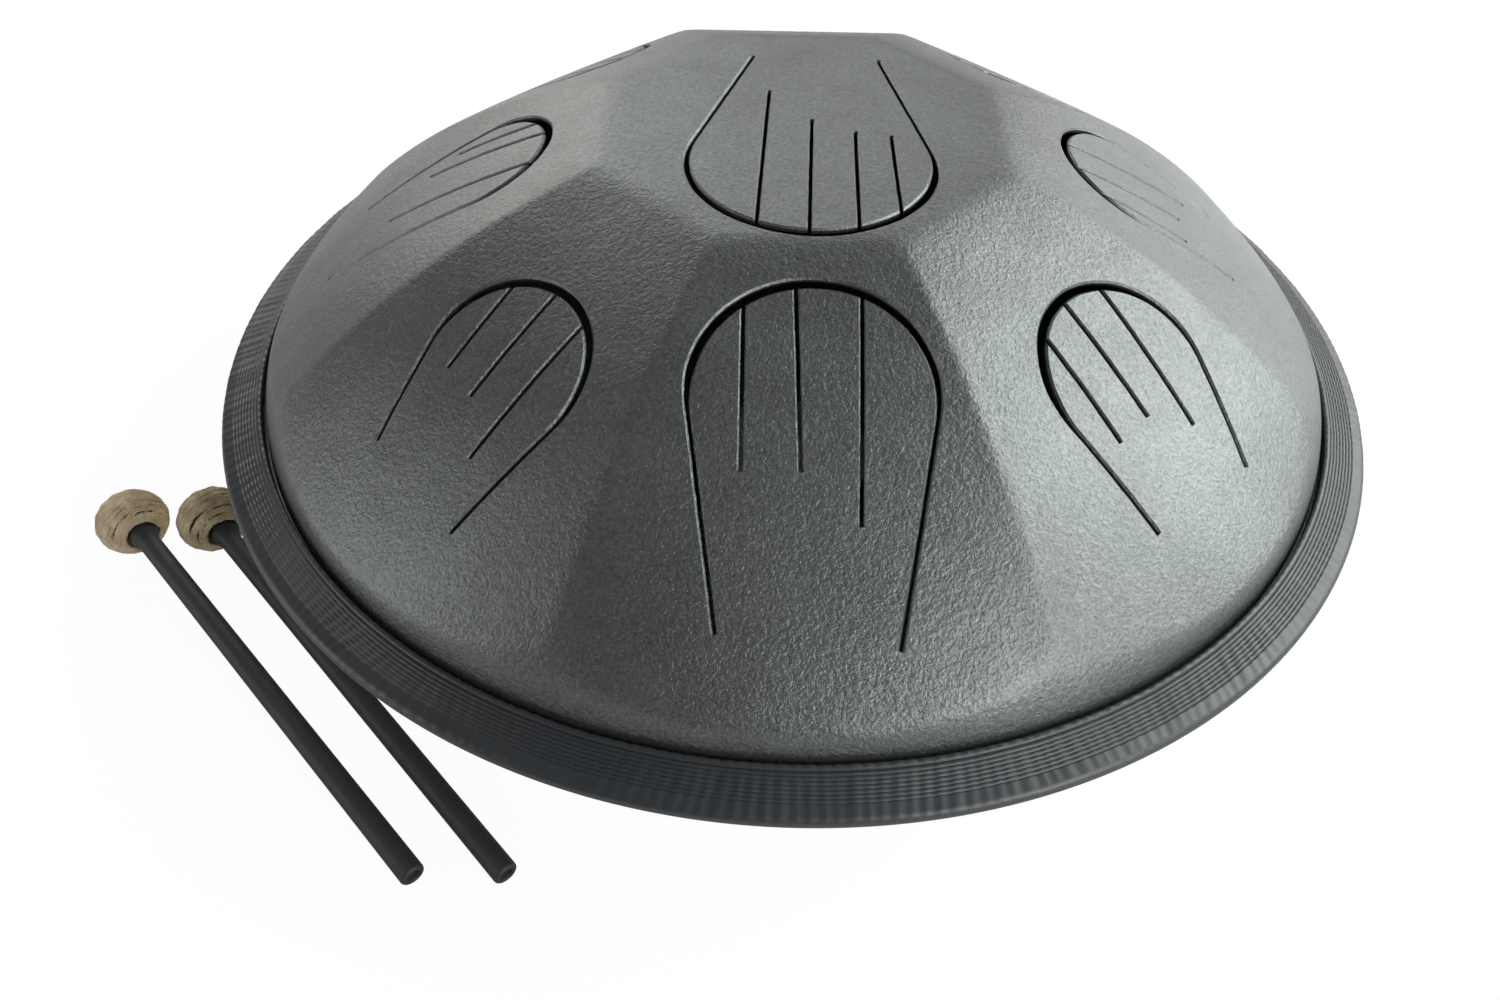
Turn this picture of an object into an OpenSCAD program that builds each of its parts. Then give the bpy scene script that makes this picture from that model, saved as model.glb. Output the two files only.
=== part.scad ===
// Steel tongue drum: a pressed eight-sided dome with nine cut tongues, a dished lower shell with a
// sound port, a rubber trim round the joined flanges, four screwed feet and two wound mallets.
// Millimetres, +Z up. The origin is the centre of the sound port, on the underside's outer face.
// The facet that faces the player faces -Y.

/* [Shells] */
// Diameter of the drum over its rubber trim
rim_d = 500; // [470:1:530]
// Thickness of the steel sheet
sheet_t = 2; // [1.6:0.1:2.4]
// Height of the playing plate's top face above the seam
dome_h = 106.5; // [100:0.5:115]
// Playing plate across its flats
plate_w = 158; // [150:1:166]
// Bow radius of a side facet down its slope
facet_bow_r = 452; // [420:1:520]
// Bow radius of the rounded ridges down the slope
ridge_bow_r = 357; // [345:1:380]
// How far the rounding cuts the ridges back at the playing plate's corners
ridge_soft = 0.5; // [0.3:0.1:1]
// Depth of the lower shell below the seam
bowl_depth = 78; // [70:1:84]
// Bow radius of the lower shell's wall
bowl_bow_r = 200; // [170:1:260]

/* [Flanges and trim] */
// Width of each shell's flange outside its wall
flange_w = 12; // [9:0.5:14]
// Thickness of the bonding bead between the flanges
bond_t = 1; // [0.6:0.1:1.6]
// Width of the trim seen from above
trim_w = 18.5; // [17:0.5:21]
// Shadow gap between the trim and the dome's wall
trim_gap = 0.6; // [0.4:0.1:1.2]
// Height of the trim's inner edge above the seam
trim_h = 8.6; // [7:0.1:11]
// Depth of the trim's lower edge below the seam
trim_drop = 6.5; // [5:0.1:8]
// Radius of the trim's rounded nose
nose_r = 3.2; // [2.5:0.1:4]
// Number of moulded grooves round the trim's upper face
groove_count = 8; // [5:1:9]
// Width of a moulded groove
groove_w = 0.7; // [0.5:0.1:0.9]
// Depth of a moulded groove
groove_deep = 0.4; // [0.3:0.1:0.6]
// Distance from one groove to the next
groove_pitch = 1.1; // [1:0.1:1.2]

/* [Tongues] */
// Width of the largest side tongue at its round tip
tongue_w = 85; // [75:1:88]
// Length of the largest side tongue from tip to root
tongue_l = 123; // [110:1:126]
// Width of the plate tongue at its round tip
plate_tongue_w = 95; // [85:1:97]
// Length of the plate tongue from tip to root
plate_tongue_l = 132; // [120:1:136]
// Steel left between the plate tongue's tip and the plate's front edge
plate_tongue_inset = 4; // [3:0.5:6]
// Width of the slot round a tongue
slot_w = 1.8; // [1.2:0.1:2.4]
// Extra width of that slot at the crown of the tip
slot_crown = 0.9; // [0.4:0.1:1.2]
// Width of that slot along the tongue's two sides
leg_w = 1.5; // [0.9:0.1:2]
// Width of the short slits that divide a tongue's tip
slit_w = 1.5; // [1:0.1:2]

/* [Sound port and feet] */
// Diameter of the sound port
port_d = 90; // [70:1:110]
// Height of the port's turned-in lip
port_lip_h = 12; // [8:0.5:16]
// Circle on which the four feet stand
foot_circle_d = 200; // [180:1:204]
// Flat steel outside the circle of feet
foot_edge = 18; // [15:0.5:22]
// Diameter of a foot where it meets the shell
foot_d = 30; // [26:0.5:32]
// Diameter of a foot where it meets the table
foot_tread_d = 26; // [24:0.5:28]
// Height of a foot
foot_h = 10; // [8:0.5:14]
// Diameter of the recess for the screw head
foot_recess_d = 13; // [12:0.5:15]
// Rubber left above the recess
foot_floor_t = 4; // [3:0.5:5]

/* [Foot screws] */
// Thread diameter
screw_d = 5; // [4:0.5:5.5]
// Head diameter
screw_head_d = 10; // [9:0.5:11]
// Head height
screw_head_h = 3; // [2.5:0.1:3.5]
// Clearance round the screw in the shell and the foot
screw_clear = 0.25; // [0.15:0.05:0.4]
// Outer diameter of the washer
washer_d = 12; // [11:0.5:14]
// Thickness of the washer
washer_t = 1; // [0.8:0.1:1.6]
// Nut across its flats
nut_w = 8; // [7.5:0.5:10]
// Height of the nut
nut_h = 4; // [3:0.5:5]
// Thread that stands out past the nut
screw_tail = 1.5; // [1:0.5:3]

/* [Mallets] */
// Distance from the butt to the middle of the head
shaft_l = 236; // [200:1:260]
// Diameter of the rubber sleeve at the butt
sleeve_d = 10.1; // [9:0.1:12]
// Diameter of the rubber sleeve next to the head
sleeve_neck_d = 9.5; // [8.5:0.1:10]
// Rounding of the sleeve's butt
butt_round = 1.6; // [1:0.1:2]
// Diameter of the rod inside
rod_d = 5.4; // [4:0.1:6]
// Depth of the open recess in the butt
butt_recess = 3; // [2:0.5:6]
// Diameter of the wound head, across the shaft
head_d = 33.5; // [31:0.5:38]
// Thickness of the wound head, along the shaft
head_t = 28; // [25:0.5:32]
// Thickness of the twine
twine_d = 2.8; // [2.4:0.1:3]
// Space between neighbouring turns of twine
twine_gap = 0.5; // [0.45:0.05:0.7]
// Diameter of the collar where the shaft enters the head
collar_d = 13; // [12:0.5:14]
// Length of the collar
collar_l = 9; // [7:0.5:12]

/* [Mallets beside the drum] */
// Gap between the outer mallet's shaft and the trim, seen from above
mallet_clear = 5.5; // [3:0.5:20]
// How far the outer mallet's head lies behind its nearest point to the drum
mallet_back = 171.5; // [140:0.5:190]
// Direction in which the butts point, turned about +Z from +X
mallet_turn = -46.1; // [-60:0.1:-30]
// Turn of the second mallet from the first
mallet_spread_angle = -0.5; // [-1:0.1:0]
// Gap between a head that is drawn past and its neighbour's shaft
mallet_pass_gap = 5.1; // [4:0.1:8]
// Gap between the two heads
mallet_head_gap = 6.5; // [4:0.5:10]

/* [Hidden] */

// Round forms, small round forms and the sides of a hexagon
$fn = 96;
hex_fn = 6;
// Overrun of a cutting form past what it cuts
over = 1;
// Running clearance between a plain rod or thread and its seat
fit = 0.05;

// The dome has eight facets round the playing plate
facet_count = 8;
facet_step = 360 / facet_count;
// Where the arcs of a facet and of a ridge would meet the seam, as shares of the drum's radius
facet_foot_share = 0.982;
ridge_foot_share = 0.9944;

rim_r = rim_d / 2;
trim_in_r = rim_r - trim_w;
wall_r = trim_in_r - trim_gap;
flange_r = wall_r + flange_w;
seam_z = bowl_depth;
plate_r = plate_w / 2;
plate_corner_r = plate_r / cos(facet_step / 2);
bowl_flat_r = foot_circle_d / 2 + foot_edge;
port_r = port_d / 2;
flange_z = bond_t / 2;
floor_z = -foot_h;
foot_r = foot_circle_d / 2;
foot_angles = [-45, 45, 135, 225];

// Centre of the arc of radius r that bulges to the left of the way from p to q
function arc_centre(p, q, r) =
    let (way = q - p, gap = norm(way), rise = sqrt(r * r - gap * gap / 4))
    (p + q) / 2 + rise * [way.y, -way.x] / gap;

facet_centre = arc_centre([plate_r, dome_h], [rim_r * facet_foot_share, 0], facet_bow_r);
ridge_centre = arc_centre([plate_corner_r - ridge_soft, dome_h], [rim_r * ridge_foot_share, 0], ridge_bow_r);
bowl_centre = arc_centre([wall_r, 0], [bowl_flat_r, -bowl_depth], bowl_bow_r);

// The shoulder stands upright at the seam and would leave the ridge's arc smoothly. It stands a
// little proud of that, so that the two arcs cross at a clear angle.
shoulder_proud = 0.15;
wall_reach = wall_r - shoulder_proud - ridge_centre.x;
shoulder_smooth_r = (pow(ridge_bow_r, 2) - pow(wall_reach, 2) - pow(ridge_centre.y, 2))
    / (2 * (ridge_bow_r - wall_reach));
shoulder_r = shoulder_smooth_r + shoulder_proud;
shoulder_centre = [wall_r - shoulder_r, 0];
shoulder_way = (shoulder_centre - ridge_centre) / norm(shoulder_centre - ridge_centre);

// Mean plane of a facet, on which its tongue is drawn: its middle and its slope
facet_mid_share = 0.56;
facet_mid_r = rim_r * facet_mid_share;
facet_mid_z = facet_centre.y + sqrt(pow(facet_bow_r, 2) - pow(facet_mid_r - facet_centre.x, 2));
facet_slope = asin((facet_mid_r - facet_centre.x) / facet_bow_r);

// The side tongues, from the front facet towards +X and on round the dome, each drawn on its facet's
// mean plane from the facet's middle. A row holds the tip's radius as a share of tongue_w, then places
// as [share of tongue_w across, share of tongue_l up the slope]: the tip's centre and the slot's left
// and right ends. Last come the slits, each as its top's share across and the place of its foot.
side_tongue_shares = [
    [0.499, [0.024, 0.038], [-0.347, -0.605], [0.365, -0.642],
        [[-0.259, [-0.259, -0.171]], [-0.047, [-0.024, -0.171]], [0.224, [0.212, -0.317]]]],
    [0.435, [0.098, -0.178], [-0.282, -0.569], [0.376, -0.602],
        [[-0.153, [-0.176, -0.301]], [0.059, [0.035, -0.293]], [0.282, [0.235, -0.398]]]],
    [0.372, [0.071, 0.02], [-0.282, -0.398], [0.329, -0.431],
        [[-0.212, [-0.224, -0.179]], [-0.059, [-0.024, -0.187]], [0.141, [0.2, -0.26]]]],
    [0.4, [-0.035, -0.057], [-0.329, -0.537], [0.294, -0.504],
        [[-0.235, [-0.224, -0.244]], [-0.047, [-0.035, -0.309]], [0.141, [0.153, -0.366]]]],
    [0.44, [0.024, -0.02], [-0.318, -0.585], [0.353, -0.553],
        [[-0.212, [-0.2, -0.195]], [-0.012, [0, -0.244]], [0.2, [0.176, -0.341]]]],
    [0.36, [-0.047, -0.041], [-0.318, -0.488], [0.271, -0.52],
        [[-0.235, [-0.235, -0.211]], [-0.071, [-0.059, -0.276]], [0.106, [0.094, -0.325]]]],
    [0.34, [-0.035, 0.096], [-0.318, -0.488], [0.212, -0.569],
        [[-0.224, [-0.294, -0.049]], [-0.094, [-0.212, -0.163]], [0.149, [0.024, -0.309]]]],
    [0.414, [0.02, -0.145], [-0.294, -0.528], [0.329, -0.585],
        [[-0.224, [-0.212, -0.228]], [-0.012, [-0.012, -0.252]], [0.212, [0.188, -0.39]]]]
];
// The plate tongue, drawn from the plate's middle in the same way, with up towards the player. The
// height of its tip's centre follows from plate_tongue_inset.
plate_tongue_shares = [0.5, -0.028, [-0.358, -0.424], [0.211, -0.439],
    [[0.189, [0.137, -0.205]], [-0.011, [-0.042, -0.03]],
        [-0.2, [-0.221, 0.038]], [-0.368, [-0.368, 0.061]]]];

// Section of the dome's round form, inset from its outer face by t
module round_section(t) {
    foot = t == 0 ? flange_z : -over;
    intersection() {
        translate(ridge_centre) circle(ridge_bow_r - t);
        union() {
            translate(shoulder_centre) circle(shoulder_r - t);
            translate([0, -dome_h])
                square([ridge_centre.x + (ridge_bow_r - t) * shoulder_way.x, 2 * dome_h]);
        }
        translate([0, foot]) square([rim_r, dome_h - t - foot]);
    }
}

// The space under two opposite facets, inset by t and turned about +Z
module facet_pair(t, turn) {
    rotate([90, 0, turn]) linear_extrude(rim_d, center = true) intersection() {
        translate(facet_centre) circle(facet_bow_r - t);
        translate([-facet_centre.x, facet_centre.y]) circle(facet_bow_r - t);
        translate([-rim_r, -2 * over]) square([rim_d, dome_h - t + 3 * over]);
    }
}

// The dome's form, inset by t: eight bowed facets whose ridges fade into a round foot
module dome_form(t) {
    intersection() {
        rotate_extrude() round_section(t);
        facet_pair(t, 0);
        facet_pair(t, facet_step);
        facet_pair(t, 2 * facet_step);
        facet_pair(t, 3 * facet_step);
    }
}

// Angle at which a straight leg from root touches a tip circle round the origin
function touch_angle(tip_r, root) = atan2(root.y, root.x) + acos(tip_r / norm(root));

// A straight slit w wide from foot to top, and on by lap
module slit(foot, top, w, lap = 0) {
    way = top - foot;
    translate(foot) rotate(atan2(way.y, way.x) - 90) translate([-w / 2, 0]) square([w, norm(way) + lap]);
}

// Slot round a tongue, from its left end over its round tip to its right end. Its legs are a little
// narrower than its arc and start inside it.
module tongue_slot(tip_r, tip, left, right) {
    right_touch = touch_angle(tip_r, right - tip);
    left_touch = touch_angle(tip_r, [tip.x - left.x, left.y - tip.y]);
    reach = 2 * tip_r;
    translate(tip) difference() {
        translate([0, slot_crown]) circle(tip_r + slot_w / 2);
        circle(tip_r - slot_w / 2);
        polygon([
            [0, 0], reach * [-cos(left_touch), sin(left_touch)], [-reach, -reach], [reach, -reach],
            reach * [cos(right_touch), sin(right_touch)]
        ]);
    }
    slit(right, tip + tip_r * [cos(right_touch), sin(right_touch)], leg_w, slot_w / 2);
    slit(left, tip + tip_r * [-cos(left_touch), sin(left_touch)], leg_w, slot_w / 2);
}

// A tongue's slot and the slits that divide its tip. Places in the row are shares of the size [w, l].
module tongue_cut(tip_r, tip, row, size) {
    tongue_slot(
        tip_r, tip, [row[2].x * size.x, row[2].y * size.y], [row[3].x * size.x, row[3].y * size.y]
    );
    for (cut = row[4]) {
        across = cut[0] * size.x - tip.x;
        slit(
            [cut[1].x * size.x, cut[1].y * size.y],
            tip + [across, sqrt(tip_r * tip_r - across * across)], slit_w
        );
    }
}

// Cutter for the tongue of the side facet numbered i, standing on that facet's mean plane
module side_tongue_cut(i) {
    row = side_tongue_shares[i];
    tip = [row[1].x * tongue_w, row[1].y * tongue_l];
    rotate(i * facet_step) translate([0, -facet_mid_r, facet_mid_z]) rotate([facet_slope, 0, 0])
        linear_extrude(foot_h + dome_h / 4, center = true)
            tongue_cut(row[0] * tongue_w, tip, row, [tongue_w, tongue_l]);
}

// Cutter for the tongue in the playing plate, whose tip points at the player
module plate_tongue_cut() {
    row = plate_tongue_shares;
    tip_r = row[0] * plate_tongue_w;
    tip = [row[1] * plate_tongue_w, plate_r - plate_tongue_inset - tip_r];
    translate([0, 0, dome_h - sheet_t - over]) rotate(180) linear_extrude(sheet_t + 2 * over)
        tongue_cut(tip_r, tip, row, [plate_tongue_w, plate_tongue_l]);
}

module top_shell() {
    color("#767d78") translate([0, 0, seam_z]) difference() {
        union() {
            dome_form(0);
            translate([0, 0, flange_z]) cylinder(r = flange_r, h = sheet_t);
        }
        dome_form(sheet_t);
        plate_tongue_cut();
        for (i = [0 : facet_count - 1]) side_tongue_cut(i);
    }
}

// Section of the dished lower shell's form, inset by t, with the seam at height zero. The arc of its
// wall is at its lowest under the arc's centre, and the flat underside runs inwards from there.
module bowl_section(t) {
    flat_w = min(bowl_centre.x, bowl_flat_r - over);
    intersection() {
        union() {
            translate(bowl_centre) circle(bowl_bow_r - t);
            translate([0, -bowl_depth]) square([flat_w, 2 * bowl_depth]);
        }
        translate([0, t - bowl_depth]) square([rim_r, bowl_depth - t - (t == 0 ? flange_z : -over)]);
    }
}

module bottom_shell() {
    color("#5f6561") difference() {
        union() {
            translate([0, 0, seam_z]) {
                rotate_extrude() difference() {
                    bowl_section(0);
                    bowl_section(sheet_t);
                }
                translate([0, 0, -flange_z - sheet_t]) difference() {
                    cylinder(r = flange_r, h = sheet_t);
                    translate([0, 0, -over]) cylinder(r = wall_r - sheet_t - over, h = sheet_t + 2 * over);
                }
            }
            cylinder(r = port_r + sheet_t, h = port_lip_h);
        }
        translate([0, 0, -over]) cylinder(r = port_r, h = port_lip_h + 2 * over);
        at_feet() translate([0, 0, -over]) cylinder(d = screw_d + 2 * screw_clear, h = sheet_t + 2 * over);
    }
}

module flange_bond() {
    color("#b9b4a6") translate([0, 0, seam_z - bond_t / 2]) difference() {
        cylinder(r = flange_r, h = bond_t);
        translate([0, 0, -over]) cylinder(r = wall_r, h = bond_t + 2 * over);
    }
}

// Angle of the straight face from the point p to the nose circle at centre c, above (1) or below (-1)
function face_angle(p, c, side) =
    let (way = c - p) atan2(way.y, way.x) + side * asin(nose_r / norm(way));

nose_centre = [rim_r - nose_r, 0];
trim_top = [trim_in_r, trim_h];
trim_foot = [trim_in_r, -trim_drop];
top_angle = face_angle(trim_top, nose_centre, 1);
foot_angle = face_angle(trim_foot, nose_centre, -1);

// A row of count moulded grooves along a straight face from p at the given angle
module groove_row(p, angle, first, count) {
    for (i = [0 : count - 1])
        translate(p) rotate(angle) translate([first + i * groove_pitch, 0])
            polygon([[0, over], [-groove_w / 2, 0], [0, -groove_deep], [groove_w / 2, 0]]);
}

// The trim is one extruded rubber section that grips both flanges
module rim_trim() {
    slot_h = bond_t + 2 * sheet_t;
    color("#2c2d2f") translate([0, 0, seam_z]) rotate_extrude() difference() {
        union() {
            translate(nose_centre) circle(nose_r);
            polygon([
                trim_foot, nose_centre + nose_r * [sin(foot_angle), -cos(foot_angle)],
                nose_centre, nose_centre + nose_r * [-sin(top_angle), cos(top_angle)],
                trim_top
            ]);
        }
        translate([trim_in_r - over, -slot_h / 2]) square([flange_r - trim_in_r + over, slot_h]);
        groove_row(trim_top, top_angle, 1.5 * groove_pitch, groove_count);
    }
}

// Places its children at each foot
module at_feet() {
    for (turn = foot_angles) rotate(turn) translate([foot_r, 0, 0]) children();
}

// A tapered rubber foot, recessed from below for the screw head
module foot(i) {
    recess_h = foot_h - foot_floor_t;
    color("#232325") rotate(foot_angles[i]) translate([foot_r, 0, floor_z]) difference() {
        cylinder(d1 = foot_tread_d, d2 = foot_d, h = foot_h);
        translate([0, 0, -over]) cylinder(d = foot_recess_d, h = recess_h + over);
        cylinder(d = screw_d + 2 * screw_clear, h = foot_h + over);
    }
}
module foot_front_right() { foot(0); }
module foot_back_right() { foot(1); }
module foot_back_left() { foot(2); }
module foot_front_left() { foot(3); }

nut_z = sheet_t + washer_t;

module foot_screws() {
    shank_l = foot_floor_t + nut_z + nut_h + screw_tail;
    color("#c9ccce") at_feet() translate([0, 0, -foot_floor_t]) {
        translate([0, 0, -screw_head_h]) cylinder(d = screw_head_d, h = screw_head_h);
        cylinder(d = screw_d, h = shank_l);
    }
}

module foot_washers() {
    color("#b9bcbe") at_feet() translate([0, 0, sheet_t]) difference() {
        cylinder(d = washer_d, h = washer_t);
        translate([0, 0, -over]) cylinder(d = screw_d + 2 * screw_clear, h = washer_t + 2 * over);
    }
}

module foot_nuts() {
    color("#a9acae") at_feet() translate([0, 0, nut_z]) difference() {
        cylinder(d = nut_w / cos(180 / hex_fn), h = nut_h, $fn = hex_fn);
        translate([0, 0, -over]) cylinder(d = screw_d + 2 * fit, h = nut_h + 2 * over);
    }
}

// A mallet is drawn along +X, with its head's middle at the origin and its butt at shaft_l
sleeve_r = sleeve_d / 2;
head_r = head_d / 2;
core_r = head_r - twine_d - fit;
core_half_t = head_t / 2 - twine_d - fit;
collar_x = core_half_t * 0.85;
sleeve_x = collar_x + collar_l;
rod_r = rod_d / 2;
// The head and the butt both rest on the table, so the shaft dips towards its butt
mallet_dip = asin((head_r - sleeve_r) / (shaft_l - butt_round));
mallet_line_r = rim_r + mallet_clear + sleeve_r;
mallet_side_step = head_r + sleeve_r + mallet_pass_gap;
wide_head = head_d + mallet_head_gap;
mallet_back_step = (head_t + mallet_head_gap) * sqrt(max(0, 1 - pow(mallet_side_step / wide_head, 2)));

// Lays a mallet beside the drum: the first outside the rim, the second just under it
module lay_mallet(number) {
    step = number - 1;
    rotate(mallet_turn + step * mallet_spread_angle)
        translate([
            step * mallet_back_step - mallet_back,
            step * mallet_side_step - mallet_line_r,
            floor_z + head_r
        ])
            rotate([0, mallet_dip, 0]) children();
}

// Turns a section drawn with its length up into a solid round +X
module turned() {
    rotate([0, 90, 0]) rotate_extrude() children();
}

module mallet_rod(number) {
    color("#d8dadc") lay_mallet(number) rotate([0, 90, 0]) translate([0, 0, -core_half_t / 2])
        cylinder(r = rod_r, h = shaft_l - butt_recess + core_half_t / 2);
}

// The sleeve's length is drawn down the section, because turning about +X reverses it
module mallet_sleeve(number) {
    end_r = sleeve_r - butt_round;
    color("#1f2022") lay_mallet(number) turned() difference() {
        union() {
            polygon([
                [0, sleeve_x], [sleeve_neck_d / 2, sleeve_x], [sleeve_r, shaft_l - butt_round],
                [end_r, shaft_l - butt_round], [end_r, shaft_l], [0, shaft_l]
            ]);
            intersection() {
                translate([end_r, shaft_l - butt_round]) circle(butt_round);
                translate([end_r, shaft_l - butt_round]) square(butt_round);
            }
        }
        translate([-over, sleeve_x - over]) square([over + rod_r + fit, shaft_l - sleeve_x + 2 * over]);
    }
}

module mallet_collar(number) {
    color("#18191a") lay_mallet(number) turned() polygon([
        [rod_r + fit, collar_x], [collar_d / 2, collar_x], [collar_d / 2, collar_x + collar_l / 3],
        [sleeve_neck_d / 2, sleeve_x], [rod_r + fit, sleeve_x]
    ]);
}

// Half the outline of the head's oval core, from the shaft side round to the crown
oval_step_angle = 10;
function oval(r, half_t) = [for (a = [90 : -oval_step_angle : -90]) [r * cos(a), half_t * sin(a)]];

module mallet_core(number) {
    color("#5b4a38") lay_mallet(number) turned() difference() {
        polygon(oval(core_r, core_half_t));
        translate([-over, -core_half_t / 2]) square([over + rod_r + fit, head_t]);
        translate([-over, collar_x - fit]) square([over + collar_d / 2 + fit, head_t]);
    }
}

// The twine winds once over the oval core, from the collar to the crown, at an even pitch. An angle
// psi runs from 0 at the shaft to 180 at the crown, and the way over the oval up to psi is taken as
// mean_r * psi + way_swing * sin(2 * psi), which is close for so mild an oval.
twine_r = twine_d / 2;
twine_path_r = core_r + fit + twine_r;
twine_path_t = core_half_t + fit + twine_r;
mean_r = (twine_path_r + twine_path_t) / 2;
way_swing = (twine_path_r - twine_path_t) / 4;
twine_pitch = twine_d + twine_gap;
winding_first = asin((collar_d / 2 + twine_d) / twine_path_r);
winding_last = 180 - asin(1.3 * twine_d / twine_path_r);
degree = PI / 180;
function way_at(psi) = mean_r * psi * degree + way_swing * sin(2 * psi);
function psi_at(way, guess, rounds) =
    rounds < 1 ? guess : psi_at(way, (way - way_swing * sin(2 * guess)) / (mean_r * degree), rounds - 1);
way_first = way_at(winding_first);
way_last = way_at(winding_last);
turn_total = 360 * (way_last - way_first) / twine_pitch;
// Rings a turn, sides a ring, and steps that solve for psi
turn_ring_count = 24;
ring_side_count = 6;
solve_count = 6;

function oval_point(psi, turn) = [
    twine_path_t * cos(psi), twine_path_r * sin(psi) * cos(turn), twine_path_r * sin(psi) * sin(turn)
];
function unit(v) = v / norm(v);
// Outward direction of the oval at psi and turn
function oval_out(psi, turn) = unit([
    cos(psi) / twine_path_t, sin(psi) * cos(turn) / twine_path_r, sin(psi) * sin(turn) / twine_path_r
]);
function winding_turn(i) = turn_total * i / ring_count;
function winding_psi(i) =
    psi_at(way_first + (way_last - way_first) * i / ring_count, 90, solve_count);
function winding_point(i) = oval_point(winding_psi(i), winding_turn(i));
function winding_out(i) = oval_out(winding_psi(i), winding_turn(i));
ring_count = ceil(turn_total / 360 * turn_ring_count);
wound_points = [for (i = [0 : ring_count]) winding_point(i)];
wound_outs = [for (i = [0 : ring_count]) winding_out(i)];

// The twine's ends run straight for one thickness, leaned away from the neighbouring turn
end_lean_angle = 30;
function end_point(i, toward) =
    let (
        run = unit(wound_points[i] - wound_points[i + toward]),
        across = cross(run, wound_outs[i])
    )
    wound_points[i] + twine_d * (cos(end_lean_angle) * run + sin(end_lean_angle) * across);
twine_points = concat([end_point(0, 1)], wound_points, [end_point(ring_count, -1)]);
twine_outs = concat([wound_outs[0]], wound_outs, [wound_outs[ring_count]]);
last_point = len(twine_points) - 1;

// Corners of the ring round point i, set square to the twine's way there
function twine_ring(i) =
    let (
        run = unit(twine_points[min(i + 1, last_point)] - twine_points[max(i - 1, 0)]),
        across = unit(cross(run, twine_outs[i])),
        out = cross(across, run)
    )
    [for (k = [0 : ring_side_count - 1])
        let (a = 360 * k / ring_side_count)
        twine_points[i] + twine_r * (cos(a) * out + sin(a) * across)];

// Least distance between the twine's faces, over points a half turn or more apart
function twine_clear() =
    min([for (i = [0 : last_point])
        for (j = [i + turn_ring_count / 2 : 1 : last_point]) norm(twine_points[i] - twine_points[j])])
    - twine_d;

module twine_tube() {
    corners = [for (i = [0 : last_point]) each twine_ring(i)];
    sides = [for (i = [0 : last_point - 1], k = [0 : ring_side_count - 1])
        let (a = i * ring_side_count + k, b = i * ring_side_count + (k + 1) % ring_side_count)
        each [[a, b, b + ring_side_count], [a, b + ring_side_count, a + ring_side_count]]];
    start_cap = [for (k = [1 : ring_side_count - 2]) [0, k + 1, k]];
    end_first = last_point * ring_side_count;
    end_cap = [for (k = [1 : ring_side_count - 2]) [end_first, end_first + k, end_first + k + 1]];
    polyhedron(corners, concat(sides, start_cap, end_cap));
}

module mallet_winding(number) {
    echo(least_gap_of_the_twine_mm = twine_clear(), turns = turn_total / 360);
    color("#8b7759") lay_mallet(number) twine_tube();
}

module mallet_1_rod() { mallet_rod(1); }
module mallet_1_sleeve() { mallet_sleeve(1); }
module mallet_1_collar() { mallet_collar(1); }
module mallet_1_core() { mallet_core(1); }
module mallet_1_winding() { mallet_winding(1); }
module mallet_2_rod() { mallet_rod(2); }
module mallet_2_sleeve() { mallet_sleeve(2); }
module mallet_2_collar() { mallet_collar(2); }
module mallet_2_core() { mallet_core(2); }
module mallet_2_winding() { mallet_winding(2); }

top_shell();
bottom_shell();
flange_bond();
rim_trim();
foot_front_right();
foot_back_right();
foot_back_left();
foot_front_left();
foot_screws();
foot_washers();
foot_nuts();
mallet_1_rod();
mallet_1_sleeve();
mallet_1_collar();
mallet_1_core();
mallet_1_winding();
mallet_2_rod();
mallet_2_sleeve();
mallet_2_collar();
mallet_2_core();
mallet_2_winding();
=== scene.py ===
"""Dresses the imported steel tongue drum: lacquered dome, rubber trim and wound mallets."""

import math

import bmesh
import bpy
from mathutils import Matrix, Vector, noise


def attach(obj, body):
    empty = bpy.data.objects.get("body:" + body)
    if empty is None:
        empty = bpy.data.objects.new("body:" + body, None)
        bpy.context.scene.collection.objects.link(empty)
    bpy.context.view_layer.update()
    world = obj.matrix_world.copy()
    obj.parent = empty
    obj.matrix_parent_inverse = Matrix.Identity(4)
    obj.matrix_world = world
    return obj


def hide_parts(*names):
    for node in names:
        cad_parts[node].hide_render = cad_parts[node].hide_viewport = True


bl_info = {
    "name": "Steel tongue drum",
    "version": (1, 0, 0),
    "blender": (4, 5, 0),
    "location": "View3D > Sidebar > Tongue drum",
    "description": "Models the visible skin of a steel tongue drum and its two mallets",
    "category": "Object",
}

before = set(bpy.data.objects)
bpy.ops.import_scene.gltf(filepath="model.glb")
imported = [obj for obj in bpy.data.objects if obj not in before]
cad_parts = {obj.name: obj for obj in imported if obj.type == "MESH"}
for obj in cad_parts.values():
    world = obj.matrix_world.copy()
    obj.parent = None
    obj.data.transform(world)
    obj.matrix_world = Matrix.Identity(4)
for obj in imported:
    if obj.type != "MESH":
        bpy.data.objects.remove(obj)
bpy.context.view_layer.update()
MM = 0.001

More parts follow.
